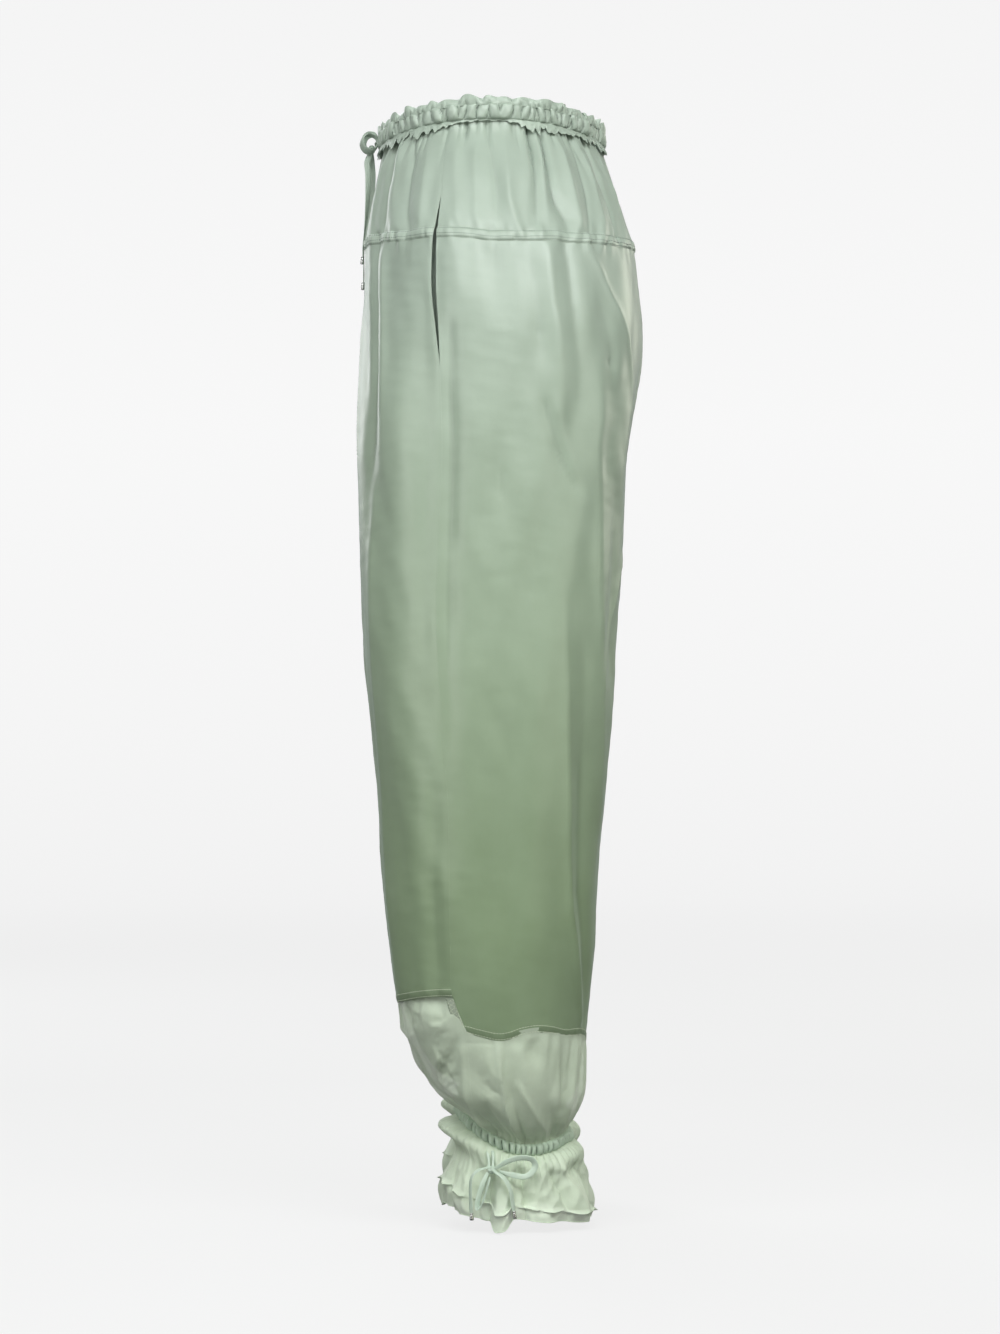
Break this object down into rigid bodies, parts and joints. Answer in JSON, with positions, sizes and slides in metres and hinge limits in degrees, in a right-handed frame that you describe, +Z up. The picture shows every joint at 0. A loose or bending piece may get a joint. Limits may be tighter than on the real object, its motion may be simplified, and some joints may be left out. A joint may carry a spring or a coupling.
{
  "type": "balloon pants",
  "caption": "Satin balloon pants with a gathered casing waist, yoke, side seam pockets and sheer cuffs drawn in by ties above a hem ruffle.",
  "frame": {"origin": "centre of the ring of the waist casing, where the wearer's waist holds the garment up", "axes": "+Z up along the body, -Y towards the front, +X towards the wearer's left"},
  "size_m": [0.4282, 0.2555, 1.0069],
  "materials": {
    "satin": "sage green satin weave with a soft broad sheen",
    "sheer": "sheer crinkled silk, part transparent",
    "metal": "polished silver-coloured tie ends"
  },
  "bodies": {
    "root": {"waist_casing": "satin", "waist_heading": "satin", "waist_frill": "satin", "yoke_front": "satin", "yoke_back": "satin", "seam_band_front": "satin", "seam_band_back": "satin", "leg_front_left": "satin", "leg_back_left": "satin", "leg_front_right": "satin", "leg_back_right": "satin", "pocket_bag_left": "satin", "pocket_bag_right": "satin", "hem_band_front_left": "satin", "hem_band_back_left": "satin", "hem_band_front_right": "satin", "hem_band_back_right": "satin", "cuff_front_left": "sheer", "cuff_back_left": "sheer", "cuff_front_right": "sheer", "cuff_back_right": "sheer", "ankle_casing_left": "satin", "ankle_casing_right": "satin", "ankle_ruffle_left": "sheer", "ankle_ruffle_right": "sheer", "waist_knot": "satin", "waist_loop_left": "satin", "waist_loop_right": "satin", "waist_tail_left": "satin", "waist_tail_right": "satin", "waist_tip_left": "metal", "waist_tip_right": "metal", "ankle_knot_left": "satin", "ankle_strands_left": "satin", "ankle_loop_back_left": "satin", "ankle_loop_front_left": "satin", "ankle_tail_back_left": "satin", "ankle_tail_front_left": "satin", "ankle_tip_back_left": "metal", "ankle_tip_front_left": "metal", "ankle_knot_right": "satin", "ankle_strands_right": "satin", "ankle_loop_back_right": "satin", "ankle_loop_front_right": "satin", "ankle_tail_back_right": "satin", "ankle_tail_front_right": "satin", "ankle_tip_back_right": "metal", "ankle_tip_front_right": "metal"}
  },
  "joints": []
}
